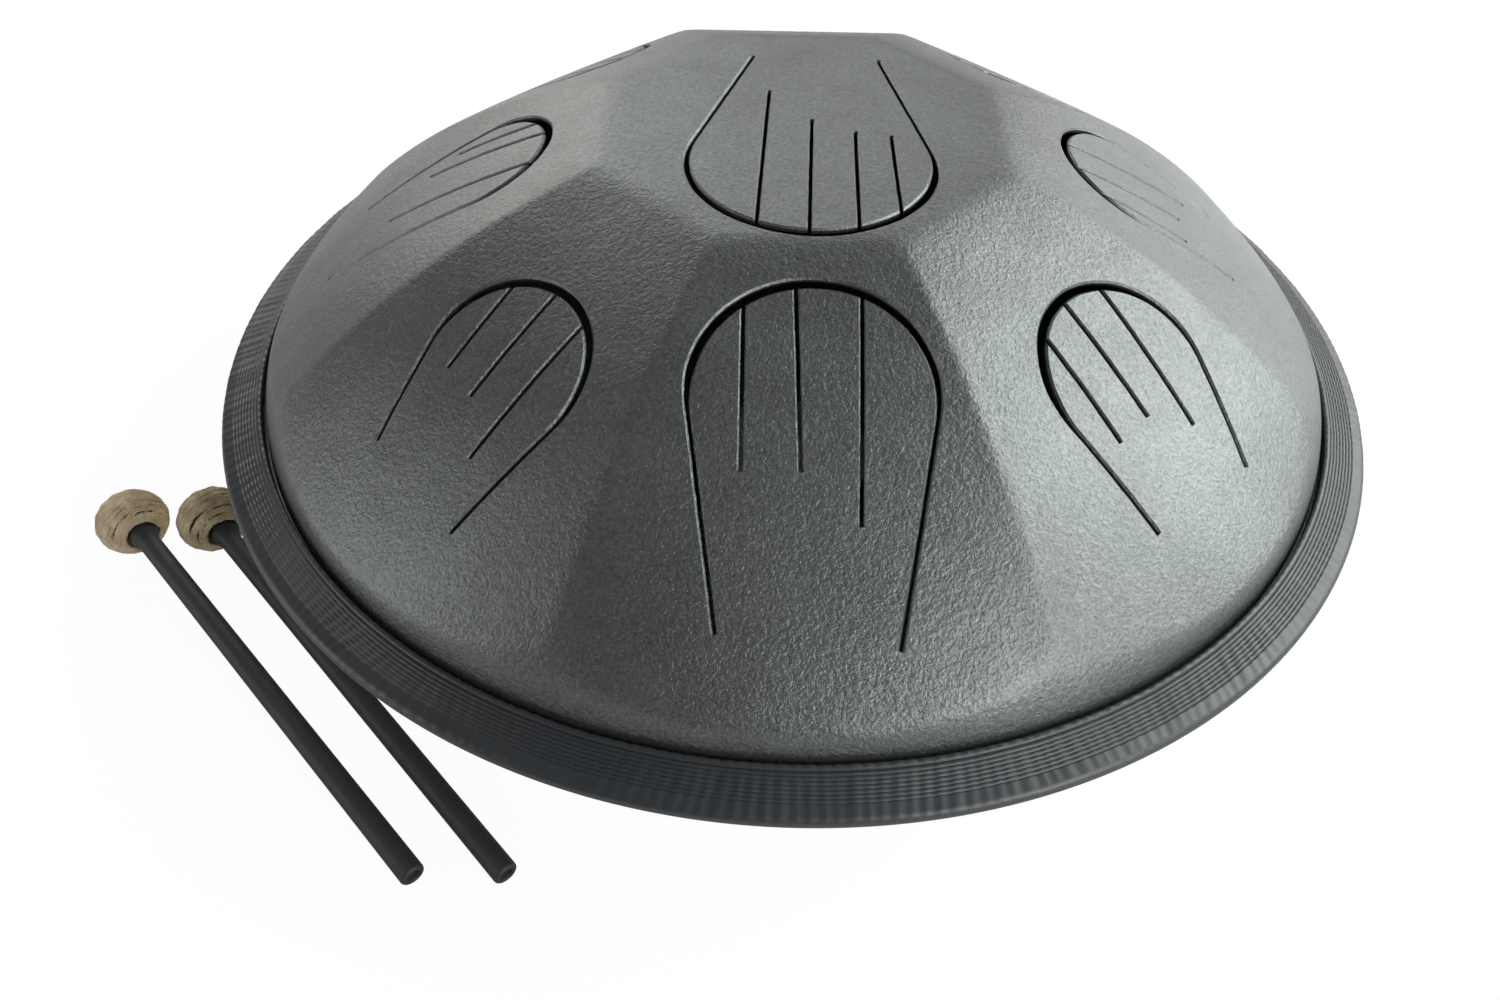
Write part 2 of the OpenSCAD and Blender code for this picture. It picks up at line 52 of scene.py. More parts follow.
# ---------------------------------------------------------------- sizes shared with the solids, in mm
RIM_R = 250.0
SEAM_Z = 78.0
FLOOR_Z = -10.0
SHEET_T = 2.0
DOME_H = 106.5
PLATE_R = 79.0
WALL_R = 230.9
FLANGE_R = 242.9
FLANGE_TOP = 2.5
FACET_BOW_R = 452.0
RIDGE_BOW_R = 357.0
RIDGE_TOP_IN = 0.5
FACET_FOOT = 0.982 * RIM_R
RIDGE_FOOT = 0.9944 * RIM_R
SHOULDER_PROUD = 0.15
FACETS = 8
FACET_STEP = 360.0 / FACETS
FACET_MID_R = 0.56 * RIM_R
TRIM_H = 8.6
TRIM_DROP = 6.5
NOSE_R = 3.2

TONGUE_W = 85.0
TONGUE_L = 123.0
# From the front facet towards +X and on round the dome. Each row, in shares of a tongue's width and
# length: the tip's radius, its centre, the slot's left and right ends, and the slits as (top, foot)
SIDE_TONGUES = [
    (0.499, (0.024, 0.038), (-0.347, -0.605), (0.365, -0.642),
        ((-0.259, (-0.259, -0.171)), (-0.047, (-0.024, -0.171)), (0.224, (0.212, -0.317)))),
    (0.435, (0.098, -0.178), (-0.282, -0.569), (0.376, -0.602),
        ((-0.153, (-0.176, -0.301)), (0.059, (0.035, -0.293)), (0.282, (0.235, -0.398)))),
    (0.372, (0.071, 0.02), (-0.282, -0.398), (0.329, -0.431),
        ((-0.212, (-0.224, -0.179)), (-0.059, (-0.024, -0.187)), (0.141, (0.2, -0.26)))),
    (0.4, (-0.035, -0.057), (-0.329, -0.537), (0.294, -0.504),
        ((-0.235, (-0.224, -0.244)), (-0.047, (-0.035, -0.309)), (0.141, (0.153, -0.366)))),
    (0.44, (0.024, -0.02), (-0.318, -0.585), (0.353, -0.553),
        ((-0.212, (-0.2, -0.195)), (-0.012, (0, -0.244)), (0.2, (0.176, -0.341)))),
    (0.36, (-0.047, -0.041), (-0.318, -0.488), (0.271, -0.52),
        ((-0.235, (-0.235, -0.211)), (-0.071, (-0.059, -0.276)), (0.106, (0.094, -0.325)))),
    (0.34, (-0.035, 0.096), (-0.318, -0.488), (0.212, -0.569),
        ((-0.224, (-0.294, -0.049)), (-0.094, (-0.212, -0.163)), (0.149, (0.024, -0.309)))),
    (0.414, (0.02, -0.145), (-0.294, -0.528), (0.329, -0.585),
        ((-0.224, (-0.212, -0.228)), (-0.012, (-0.012, -0.252)), (0.212, (0.188, -0.39)))),
]
PLATE_TONGUE_W = 95.0
PLATE_TONGUE_L = 132.0
PLATE_INSET = 4.0
# The same for the plate, where the tip stands the inset away from the plate's edge
PLATE_TONGUE = (
    0.5, -0.028, (-0.358, -0.424), (0.211, -0.439),
    ((0.189, (0.137, -0.205)), (-0.011, (-0.042, -0.03)),
        (-0.2, (-0.221, 0.038)), (-0.368, (-0.368, 0.061))),
)

SHAFT_L = 236.0
SLEEVE_R = 5.05
NECK_R = 4.75
BUTT_ROUND = 1.6
ROD_R = 2.7
HEAD_D = 33.5
HEAD_T = 28.0
TWINE_D = 2.8
TWINE_GAP = 0.5
COLLAR_D = 13.0
COLLAR_L = 9.0
MALLET_TURN = -46.1
MALLET_SPREAD = -0.5
MALLET_BACK = 171.5
MALLET_CLEAR = 5.5
PASS_GAP = 5.1
HEAD_GAP = 6.5


def arc_centre(p, q, r):
    """Centre of the arc of radius r that bulges to the left of the way from p to q."""
    way = (q[0] - p[0], q[1] - p[1])
    gap = math.hypot(*way)
    rise = math.sqrt(r * r - gap * gap / 4)
    return ((p[0] + q[0]) / 2 + rise * way[1] / gap, (p[1] + q[1]) / 2 - rise * way[0] / gap)


PLATE_CORNER_R = PLATE_R / math.cos(math.radians(FACET_STEP / 2))
FACET_C = arc_centre((PLATE_R, DOME_H), (FACET_FOOT, 0), FACET_BOW_R)
RIDGE_C = arc_centre((PLATE_CORNER_R - RIDGE_TOP_IN, DOME_H), (RIDGE_FOOT, 0), RIDGE_BOW_R)
WALL_REACH = WALL_R - SHOULDER_PROUD - RIDGE_C[0]
SHOULDER_R = SHOULDER_PROUD + (
    (RIDGE_BOW_R**2 - WALL_REACH**2 - RIDGE_C[1] ** 2) / (2 * (RIDGE_BOW_R - WALL_REACH))
)
SHOULDER_X = WALL_R - SHOULDER_R
SHOULDER_LEN = math.hypot(SHOULDER_X - RIDGE_C[0], RIDGE_C[1])
TANGENT_R = RIDGE_C[0] + RIDGE_BOW_R * (SHOULDER_X - RIDGE_C[0]) / SHOULDER_LEN
FACET_MID_Z = FACET_C[1] + math.sqrt(FACET_BOW_R**2 - (FACET_MID_R - FACET_C[0]) ** 2)
FACET_SLOPE = math.asin((FACET_MID_R - FACET_C[0]) / FACET_BOW_R)

# ---------------------------------------------------------------- sizes of this skin alone, in mm
# A facet is flat across down to BOW_START, and bows more and more from there to the foot
BOW_START = 137.0
BOW_RATE = 0.0075
BOW_MOST = 0.8
# How far a ridge, the plate's edge and the shoulder are rounded over
RIDGE_SOFT = 0.26
PLATE_SOFT = 0.95
SHOULDER_SOFT = 0.6
# Within this reach of its tangent the shoulder's arc is raised, by this much at its start, so that it
# takes over softly
SHOULDER_EASE = 4
SHOULDER_LIFT = 3.0

# The dome's grid: columns on one facet, and rings by their radius on a facet's middle
FACET_COLUMNS = 40
PLATE_RINGS = (
    0.0, 12.0, 24.0, 36.0, 46.0, 54.0, 61.0, 66.0, 70.0, 73.0, 75.2, 77.0,
    78.4, 79.6, 80.8, 82.2, 84.0, 86.5,
)
SLOPE_RINGS = [90.0 + 3.6 * k for k in range(32)]
SHOULDER_START = 206.0
SHOULDER_STEPS = 20
DOME_END_R = WALL_R - 0.03
# The last rings, as (radius, height above the seam): down the wall and out along the flange
FLANGE_RINGS = (
    (WALL_R - 0.02, FLANGE_TOP + 0.8), (WALL_R + 0.3, FLANGE_TOP), (FLANGE_R, FLANGE_TOP),
)

# Cut lines: the distance between stations, how many lie over a tip and how many of them ease into
# its sides, and how far the slot's widest place is turned from the tip's middle, in radians
STATION_GAP = 4
TIP_STEPS = 44
TIP_EASE = 5
CROWN_LEAN = 0.3
# A slit's bevel as a share of a slot's, how far a blade reaches above and below the sheet, and a
# line's round foot as (reach, width) in shares of its width
SLIT_EDGE = 0.75
BLADE_HIGH = 1.0
BLADE_UNDER = 1.4
ROUND_FOOT = ((0.25, 0.87), (0.43, 0.5), (0.5, 0.12))

# The rubber's inner edge stands 0.5 outside the solid's. A rounded bead stands along it, eight ribs
# follow outwards, and cross folds run over both
TRIM_IN_R = 232.0
TRIM_STEPS = 1200
TRIM_BEAD = 2.7
TRIM_BEAD_RISE = 0.75
TRIM_BEAD_SINK = 0.1
TRIM_RIBS = 8
TRIM_RIB_STEP = 1.45
TRIM_FOLDS = 320
NOSE_STEPS = 9
GROOVE_LIP = [(TRIM_IN_R, 3.2), (TRIM_IN_R + 0.2, 2.6), (FLANGE_R + 0.05, 2.55)]

# The sleeves and collars, whose bore clears the rod by 0.01 more than the solids' does
BORE_R = ROD_R + 0.06
ROUND_STEPS = 40
SLEEVE_STEPS = 30
COLLAR_STEPS = 8
COLLAR_STRAIGHT = 1.6
# The yarn: how many turns it makes for one of the solid's thicker twine, the points on a turn, its
# radius, plies and length of one twist, and a ply's radius and offset as shares of the yarn's radius
TURNS_FACTOR = 3.9
TURN_POINTS = 72
YARN_R = 0.98
YARN_PLIES = 3
YARN_LAY = 5.0
PLY_SIDES = 6
PLY_SHARE = 0.56
PLY_OFFSET = 0.5


def limited(value):
    """A value held between 0 and 1."""
    return min(1.0, max(0.0, value))


def wavering(x, y, z):
    """Smooth noise from -1 to 1, which is the same at the same place in every run."""
    return noise.noise(Vector((x, y, z)))


def soft_least(heights, soft):
    """The least of some heights, rounded over where two of them meet."""
    low = min(heights)
    return low - soft * math.log(sum(math.exp((low - h) / soft) for h in heights))


def facet_profile(s):
    """Height of a facet's middle above the seam at the distance s from the axis."""
    return FACET_C[1] + math.sqrt(max(0.0, FACET_BOW_R**2 - (s - FACET_C[0]) ** 2))


def dome_height(x, y):
    """Height of the dome's outer face above the seam, with its ridges and the plate's edge soft."""
    r = math.hypot(x, y)
    turn = math.degrees(math.atan2(y, x)) + 90
    flatness = 1 - min(BOW_MOST, max(0.0, (r - BOW_START) * BOW_RATE))
    nearest = round(turn / FACET_STEP)
    facets = []
    for k in (nearest - 1, nearest, nearest + 1):
        off = math.radians(turn - k * FACET_STEP)
        facets.append(facet_profile(r * math.cos(off) ** flatness))
    height = soft_least([soft_least(facets, RIDGE_SOFT), DOME_H], PLATE_SOFT)
    if r > TANGENT_R - SHOULDER_EASE:
        lift = SHOULDER_LIFT * limited((TANGENT_R + SHOULDER_EASE - r) / (2 * SHOULDER_EASE))
        shoulder = math.sqrt(max(0.0, SHOULDER_R**2 - (r - SHOULDER_X) ** 2)) + lift
        height = soft_least([height, shoulder], SHOULDER_SOFT)
    return height


# ---------------------------------------------------------------- sizes and colours a user may change
class DrumLooks(bpy.types.PropertyGroup):
    """Colours and finishes of the drum and its mallets"""

    lacquer: bpy.props.FloatVectorProperty(
        name="Lacquer", description="Colour of the metallic lacquer",
        subtype="COLOR", default=(0.207, 0.221, 0.215),
    )
    lacquer_dark: bpy.props.FloatVectorProperty(
        name="Lacquer, dark", description="Colour of its darker clouds",
        subtype="COLOR", default=(0.163, 0.172, 0.168),
    )
    rubber: bpy.props.FloatVectorProperty(
        name="Trim", description="Colour of the rubber trim",
        subtype="COLOR", default=(0.017, 0.021, 0.026),
    )
    sleeve: bpy.props.FloatVectorProperty(
        name="Sleeves", description="Colour of the mallets' sleeves",
        subtype="COLOR", default=(0.04, 0.041, 0.043),
    )
    twine: bpy.props.FloatVectorProperty(
        name="Twine", description="Colour of the wound twine",
        subtype="COLOR", default=(0.80, 0.655, 0.455),
    )
    # The twine's second colour is painted shade, laid in random patches over the heads rather than in
    # the folds
    twine_painted_shade: bpy.props.FloatVectorProperty(
        name="Twine, dark", description="Colour in the twine's folds",
        subtype="COLOR", default=(0.62, 0.48, 0.31),
    )
    roughness: bpy.props.FloatProperty(
        name="Lacquer roughness", description="Roughness of the lacquer",
        subtype="FACTOR", default=0.34, min=0.0, max=1.0,
    )


class DrumSizes(bpy.types.PropertyGroup):
    """Sizes of the details that only this skin has"""

    slot_width: bpy.props.FloatProperty(
        name="Slot width", description="Width of the slot round a tongue's tip",
        unit="LENGTH", default=2.1 * MM,
    )
    slot_crown: bpy.props.FloatProperty(
        name="Slot crown", description="Extra width at the crown of the tip",
        unit="LENGTH", default=1.3 * MM,
    )
    leg_width: bpy.props.FloatProperty(
        name="Leg width", description="Width of the slot along a tongue's sides",
        unit="LENGTH", default=1.25 * MM,
    )
    slit_width: bpy.props.FloatProperty(
        name="Slit width", description="Width of the slits in a tongue's tip",
        unit="LENGTH", default=1.4 * MM,
    )
    edge_break: bpy.props.FloatProperty(
        name="Edge break", description="Width of the bevel along a slot's edges",
        unit="LENGTH", default=0.75 * MM,
    )
    pucker: bpy.props.FloatProperty(
        name="Trim puckers", description="Height of the trim's cross folds",
        unit="LENGTH", default=0.42 * MM,
    )
    rib: bpy.props.FloatProperty(
        name="Trim ribs", description="Depth of the trim's moulded grooves",
        unit="LENGTH", default=0.32 * MM,
    )


# ---------------------------------------------------------------- small helpers
def bare_selection():
    """Leaves nothing selected, because an operator acts on all that is."""
    if bpy.context.object and bpy.context.object.mode != "OBJECT":
        bpy.ops.object.mode_set(mode="OBJECT")
    bpy.ops.object.select_all(action="DESELECT")


def pick(*pieces):
    """Selects these pieces alone, and makes the first of them the active one."""
    bare_selection()
    for piece in pieces:
        piece.select_set(True)
    bpy.context.view_layer.objects.active = pieces[0]


def take(name):
    """Names the object that an operator has just added, and returns it."""
    piece = bpy.context.object
    piece.name = name
    piece.data.name = name
    return piece


def smooth(piece, angle):
    """Shades a piece smooth but for its true corners."""
    pick(piece)
    bpy.ops.object.shade_smooth_by_angle(angle=math.radians(angle))


def apply_modifiers(piece):
    """Applies every modifier of a piece in order."""
    pick(piece)
    for modifier in list(piece.modifiers):
        bpy.ops.object.modifier_apply(modifier=modifier.name)


def merge(piece, distance):
    """Merges a piece's doubled points, and turns its faces outwards."""
    pick(piece)
    bpy.ops.object.mode_set(mode="EDIT")
    bpy.ops.mesh.select_all(action="SELECT")
    bpy.ops.mesh.remove_doubles(threshold=distance)
    bpy.ops.mesh.normals_make_consistent(inside=False)
    bpy.ops.object.mode_set(mode="OBJECT")


def rolled_sheet(name, across, along, place):
    """A grid of across by along faces whose points are put where place(i, j) says, in mm."""
    bare_selection()
    bpy.ops.mesh.primitive_grid_add(x_subdivisions=across, y_subdivisions=along, size=1)
    piece = take(name)
    for v in piece.data.vertices:
        i = round((v.co.x + 0.5) * across)
        j = round((v.co.y + 0.5) * along)
        v.co = Vector(place(i, j)) * MM
    return piece


def turned_piece(name, outline, steps, matrix):
    """A closed outline of (radius, height) points in mm, spun round Z and put where matrix says."""
    count = len(outline)

    def place(i, j):
        r, z = outline[j % count]
        a = 2 * math.pi * i / steps
        return (r * math.cos(a), r * math.sin(a), z)

    piece = rolled_sheet(name, steps, count, place)
    merge(piece, 0.002 * MM)
    piece.data.transform(matrix)
    return piece


def wear(piece, *materials):
    """Gives a piece these materials and no others."""
    piece.data.materials.clear()
    for material in materials:
        piece.data.materials.append(material)


def mount(piece, body, node):
    """Gives a piece its body, and hides the solid of the node that it stands for."""
    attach(piece, body)
    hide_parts(node)


# ---------------------------------------------------------------- materials
def grey(level):
    """A colour without a tint."""
    return (level, level, level)


def scaled(colour, share):
    """A colour times a share, and at most white."""
    return tuple(min(1, c * share) for c in colour)


class Finish:
    """Builds one node material, step by step. Its patterns lie in the object's own metres."""

    def __init__(self, name):
        self.material = bpy.data.materials.new(name)
        self.material.use_nodes = True
        self.tree = self.material.node_tree
        self.shader = self.tree.nodes["Principled BSDF"]
        self.coords = self.tree.nodes.new("ShaderNodeTexCoord").outputs["Object"]

    def link(self, a, b):
        """Leads one socket to another."""
        self.tree.links.new(a, b)

    def clouds(self, scale, detail=3.0, rough=0.5, distortion=0.0):
        """Noise with this many waves to a metre."""
        node = self.tree.nodes.new("ShaderNodeTexNoise")
        node.inputs["Scale"].default_value = scale
        node.inputs["Detail"].default_value = detail
        node.inputs["Roughness"].default_value = rough
        node.inputs["Distortion"].default_value = distortion
        self.link(self.coords, node.inputs["Vector"])
        return node.outputs["Fac"]

    def ramp(self, value, low, high, *more):
        """Turns a value into a colour between stops, each given as (place, colour)."""
        stops = (low, high, *more)
        node = self.tree.nodes.new("ShaderNodeValToRGB")
        for _ in more:
            node.color_ramp.elements.new(0.5)
        for element, (at, colour) in zip(node.color_ramp.elements, stops):
            element.position = at
            element.color = (*colour, 1)
        self.link(value, node.inputs["Fac"])
        return node.outputs["Color"]

    def laid_over(self, base, layer, share, blend):
        """Blends a layer over a base by a fixed share."""
        node = self.tree.nodes.new("ShaderNodeMix")
        node.data_type = "RGBA"
        node.blend_type = blend
        sockets = {s.identifier: s for s in node.inputs}
        sockets["Factor_Float"].default_value = share
        self.link(base, sockets["A_Color"])
        self.link(layer, sockets["B_Color"])
        return next(s for s in node.outputs if s.identifier == "Result_Color")

    def span(self, value, low, high):
        """Spreads a value from 0 to 1 over another range."""
        node = self.tree.nodes.new("ShaderNodeMapRange")
        node.inputs["To Min"].default_value = low
        node.inputs["To Max"].default_value = high
        self.link(value, node.inputs["Value"])
        return node.outputs["Result"]

    def bump(self, height, distance, strength, under=None):
        """Relief of this depth in metres, over the relief that lies under it."""
        node = self.tree.nodes.new("ShaderNodeBump")
        node.inputs["Distance"].default_value = distance
        node.inputs["Strength"].default_value = strength
        self.link(height, node.inputs["Height"])
        if under:
            self.link(under, node.inputs["Normal"])
        return node.outputs["Normal"]

    def set(self, **values):
        """Sets the shader's sockets to plain numbers, or links them."""
        for key, value in values.items():
            socket = self.shader.inputs[key.replace("_", " ")]
            if isinstance(value, (int, float)):
                socket.default_value = value
            else:
                self.link(value, socket)


def lacquered_steel(name, light, dark, rough):
    """Satin metallic lacquer on pressed sheet: soft clouds, leathery grain and faint waves."""
    f = Finish(name)
    clouds = f.clouds(10.0, detail=4.0, rough=0.6, distortion=0.3)
    leather = f.clouds(460.0, rough=0.6)
    grain = f.clouds(860.0, rough=0.7)
    leather_tone = f.ramp(leather, (0.3, grey(0.25)), (0.7, grey(0.75)))
    grain_tone = f.ramp(grain, (0.3, grey(0.2)), (0.7, grey(0.8)))
    base = f.ramp(clouds, (0.34, dark), (0.62, light))
    base = f.laid_over(base, leather_tone, 0.3, "SOFT_LIGHT")
    waves = f.bump(f.clouds(24.0), distance=0.0014, strength=0.6)
    creases = f.bump(leather, distance=0.0005, strength=0.7, under=waves)
    f.set(
        Base_Color=f.laid_over(base, grain_tone, 0.55, "SOFT_LIGHT"),
        Metallic=0.8,
        Roughness=f.span(f.clouds(60.0, detail=4.0), rough - 0.07, rough + 0.07),
        Normal=f.bump(grain, distance=0.00038, strength=0.75, under=creases),
    )
    return f.material


def bare_steel(name, tint=(0.62, 0.63, 0.63), rough=0.3, metal=0.9):
    """Plain cut or turned steel with a fine grain."""
    f = Finish(name)
    grain = f.clouds(700.0, detail=2.0, rough=0.6)
    f.set(
        Base_Color=f.ramp(grain, (0.3, scaled(tint, 0.8)), (0.7, tint)),
        Metallic=metal,
        Roughness=f.span(grain, rough - 0.05, rough + 0.1),
        Normal=f.bump(grain, distance=0.00004, strength=0.5),
    )
    return f.material


def soft_rubber(name, tint, rough, bloom, shine=0.5):
    """Dark rubber with a fine moulded grain and a faint grey bloom."""
    f = Finish(name)
    pale = tuple(c + bloom for c in tint)
    f.set(
        Base_Color=f.ramp(f.clouds(40.0, detail=4.0, rough=0.6), (0.3, tint), (0.8, pale)),
        Roughness=f.span(f.clouds(90.0), rough - 0.06, rough + 0.1),
        Specular_IOR_Level=shine,
        Normal=f.bump(f.clouds(1400.0, detail=2.0, rough=0.6), distance=0.00005, strength=0.6),
    )
    return f.material


def dull_putty(name, tint):
    """Dried bonding bead with a rough, uneven face."""
    f = Finish(name)
    lumps = f.clouds(220.0, detail=4.0, rough=0.6)
    f.set(
        Base_Color=f.ramp(lumps, (0.3, scaled(tint, 0.75)), (0.7, tint)),
        Roughness=0.85,
        Normal=f.bump(lumps, distance=0.0003, strength=0.8),
    )
    return f.material


def twisted_yarn(name, light, dark):
    """Brown yarn with fine darker fibres, under random patches of painted shade and painted highlight.
    """
    f = Finish(name)
    patches = f.clouds(170.0, rough=0.6)
    fibres = f.clouds(1500.0, rough=0.7, distortion=0.4)
    # Random patches: the dark stop is painted shade, and the brightest stop, the yarn's colour raised
    # by nearly half, is a painted highlight
    base = f.ramp(patches, (0.3, dark), (0.5, light), (0.75, scaled(light, 1.45)))
    fibre_tone = f.ramp(fibres, (0.3, (0.62, 0.53, 0.42)), (0.65, (1.0, 0.97, 0.9)))
    f.set(
        Base_Color=f.laid_over(base, fibre_tone, 0.6, "MULTIPLY"),
        Roughness=0.92,
        Normal=f.bump(fibres, distance=0.0002, strength=0.8),
        Sheen_Weight=0.25,
        Sheen_Roughness=0.5,
    )
    return f.material


# ---------------------------------------------------------------- the dome
def over_dome(matrix, u, v):
    """The point of the dome's outer face over (u, v) of a tongue's plane, and the way out there."""
    up = matrix.to_3x3() @ Vector((0, 0, 1))
    p = matrix @ Vector((u, v, 0))
    for _ in range(5):
        p += up * up.z * (SEAM_Z + dome_height(p.x, p.y) - p.z)
    step = 0.5
    slope_x = (dome_height(p.x + step, p.y) - dome_height(p.x - step, p.y)) / (2 * step)
    slope_y = (dome_height(p.x, p.y + step) - dome_height(p.x, p.y - step)) / (2 * step)
    return p, Vector((-slope_x, -slope_y, 1)).normalized()


def straight(start, end, width, seed):
    """Stations (u, v, width) of a sawn line, a little unsteady, with a round foot at its end."""
    way = Vector(end) - Vector(start)
    side = Vector((-way.y, way.x)).normalized()
    count = max(3, int(way.length / STATION_GAP))
    stations = []
    for k in range(count + 1):
        at = Vector(start) + way * k / count
        drift = 0.16 * wavering(at.x * 0.12, at.y * 0.12, seed) * min(1, k)
        swell = 1 + 0.10 * wavering(at.x * 0.3, at.y * 0.3, seed + 5.3)
        stations.append((at.x + side.x * drift, at.y + side.y * drift, width * swell))
    for reach, share in ROUND_FOOT:
        at = Vector(end) + way.normalized() * width * reach
        stations.append((at.x, at.y, width * share))
    return stations


def touch_angle(tip_r, root):
    """Angle at which a line from the root, seen from the tip's centre, touches the round tip."""
    return math.atan2(root[1], root[0]) + math.acos(tip_r / math.hypot(*root))


def slot_stations(tip_r, tip, left, right, sizes, seed):
    """Stations of a tongue's slot, from its left foot over its round tip to its right foot."""
    wide = sizes.slot_width / MM
    crown = sizes.slot_crown / MM
    leg = sizes.leg_width / MM
    first = touch_angle(tip_r, (right[0] - tip[0], right[1] - tip[1]))
    last = math.pi - touch_angle(tip_r, (tip[0] - left[0], left[1] - tip[1]))
    arc = []
    for k in range(TIP_STEPS + 1):
        a = first + (last - first) * k / TIP_STEPS
        crown_here = crown * max(0.0, math.sin(a - CROWN_LEAN))
        ease = min(1.0, k / TIP_EASE, (TIP_STEPS - k) / TIP_EASE)
        radius = tip_r + crown_here / 2 + 0.14 * ease * wavering(a * 3.1, seed, 0)
        swell = 1 + 0.08 * wavering(a * 6.0, 2.2, seed)
        width = (leg + (wide - leg) * ease + crown_here * ease) * swell
        arc.append((tip[0] + radius * math.cos(a), tip[1] + radius * math.sin(a), width))
    right_leg = straight(arc[0][:2], right, leg, seed)[1:]
    left_leg = straight(arc[-1][:2], left, leg, seed + 1)[1:]
    return list(reversed(right_leg)) + arc + left_leg


def ring_faces(first, rings, sides):
    """Faces of a closed tube, whose rings of points follow each other from the point first."""
    faces = []
    for i in range(rings - 1):
        for k in range(sides):
            a = first + i * sides + k
            b = first + i * sides + (k + 1) % sides
            faces.append((a, b, b + sides, a + sides))
    faces.append(tuple(first + k for k in reversed(range(sides))))
    faces.append(tuple(first + (rings - 1) * sides + k for k in range(sides)))
    return faces


def across_path(path, i):
    """The way across a path of (point, outward) pairs at its point i, along the surface."""
    run = (path[min(i + 1, len(path) - 1)][0] - path[max(i - 1, 0)][0]).normalized()
    return run.cross(path[i][1]).normalized()


def placed_mesh(name, vertices, faces):
    """A new object made of points in mm and their faces."""
    mesh = bpy.data.meshes.new(name)
    mesh.from_pydata([tuple(v * MM) for v in vertices], [], faces)
    piece = bpy.data.objects.new(name, mesh)
    bpy.context.scene.collection.objects.link(piece)
    return piece


def sawn_blade(stations, matrix, edge):
    """A closed band along the stations that cuts through the dome, wider above for its bevels."""
    deep = SHEET_T + BLADE_UNDER
    path = [over_dome(matrix, u, v) for u, v, _ in stations]
    vertices = []
    for i, (point, out) in enumerate(path):
        across = across_path(path, i)
        half = stations[i][2] / 2
        wide = half + edge + BLADE_HIGH
        low = ((-half, -deep), (half, -deep), (half, -edge))
        high = ((wide, BLADE_HIGH), (-wide, BLADE_HIGH), (-half, -edge))
        vertices += [point + across * s + out * d for s, d in low + high]
    blade = placed_mesh("slot_blade", vertices, ring_faces(0, len(path), 6))
    work = bmesh.new()
    work.from_mesh(blade.data)
    bmesh.ops.recalc_face_normals(work, faces=work.faces)
    for face in work.faces:
        face.material_index = 1
    work.to_mesh(blade.data)
    work.free()
    return blade


def tongue_blades(row, tip, width, length, matrix, sizes, seed):
    """Blades for one tongue: the one that frees it, and those of its slits."""
    tip_r = row[0] * width
    left, right = ((end[0] * width, end[1] * length) for end in row[2:4])
    edge = sizes.edge_break / MM
    slit = sizes.slit_width / MM
    frees = sawn_blade(slot_stations(tip_r, tip, left, right, sizes, seed), matrix, edge)
    slits = []
    for n, (top, foot) in enumerate(row[4]):
        across = top * width - tip[0]
        start = (tip[0] + across, tip[1] + math.sqrt(tip_r**2 - across**2))
        end = (foot[0] * width, foot[1] * length)
        slits.append(sawn_blade(straight(start, end, slit, seed + 2 + n), matrix, SLIT_EDGE * edge))
    return frees, slits


def all_blades(sizes):
    """Blades of the facets' tongues and the plate's: the list that frees them, and their slits."""
    pairs = []
    for i, row in enumerate(SIDE_TONGUES):
        matrix = (
            Matrix.Rotation(math.radians(i * FACET_STEP), 4, "Z")
            @ Matrix.Translation((0, -FACET_MID_R, SEAM_Z + FACET_MID_Z))
            @ Matrix.Rotation(FACET_SLOPE, 4, "X")
        )
        tip = (row[1][0] * TONGUE_W, row[1][1] * TONGUE_L)
        pairs.append(tongue_blades(row, tip, TONGUE_W, TONGUE_L, matrix, sizes, 7.0 * i))
    matrix = Matrix.Translation((0, 0, SEAM_Z + DOME_H)) @ Matrix.Rotation(math.pi, 4, "Z")
    tip = (PLATE_TONGUE[1] * PLATE_TONGUE_W, PLATE_R - PLATE_INSET - PLATE_TONGUE[0] * PLATE_TONGUE_W)
    pairs.append(tongue_blades(PLATE_TONGUE, tip, PLATE_TONGUE_W, PLATE_TONGUE_L, matrix, sizes, 61.0))
    return [frees for frees, _ in pairs], [slit for _, slits in pairs for slit in slits]


def cut_away(piece, blades):
    """Takes the joined form of some blades, which don't touch each other, out of a piece."""
    pick(*blades)
    bpy.ops.object.join()
    knife = bpy.context.object
    cut = piece.modifiers.new("cut", "BOOLEAN")
    cut.operation = "DIFFERENCE"
    cut.object = knife
    cut.solver = "MANIFOLD"
    apply_modifiers(piece)
    bpy.data.objects.remove(knife)


def dome_rings():
    """Radii of the dome's grid rings on a facet's middle, closer together where the form turns."""
    first = math.asin((SHOULDER_START - SHOULDER_X) / SHOULDER_R)
    last = math.asin((DOME_END_R - SHOULDER_X) / SHOULDER_R)
    turns = [first + (last - first) * k / SHOULDER_STEPS for k in range(SHOULDER_STEPS + 1)]
    return [*PLATE_RINGS, *SLOPE_RINGS, *(SHOULDER_X + SHOULDER_R * math.sin(a) for a in turns)]


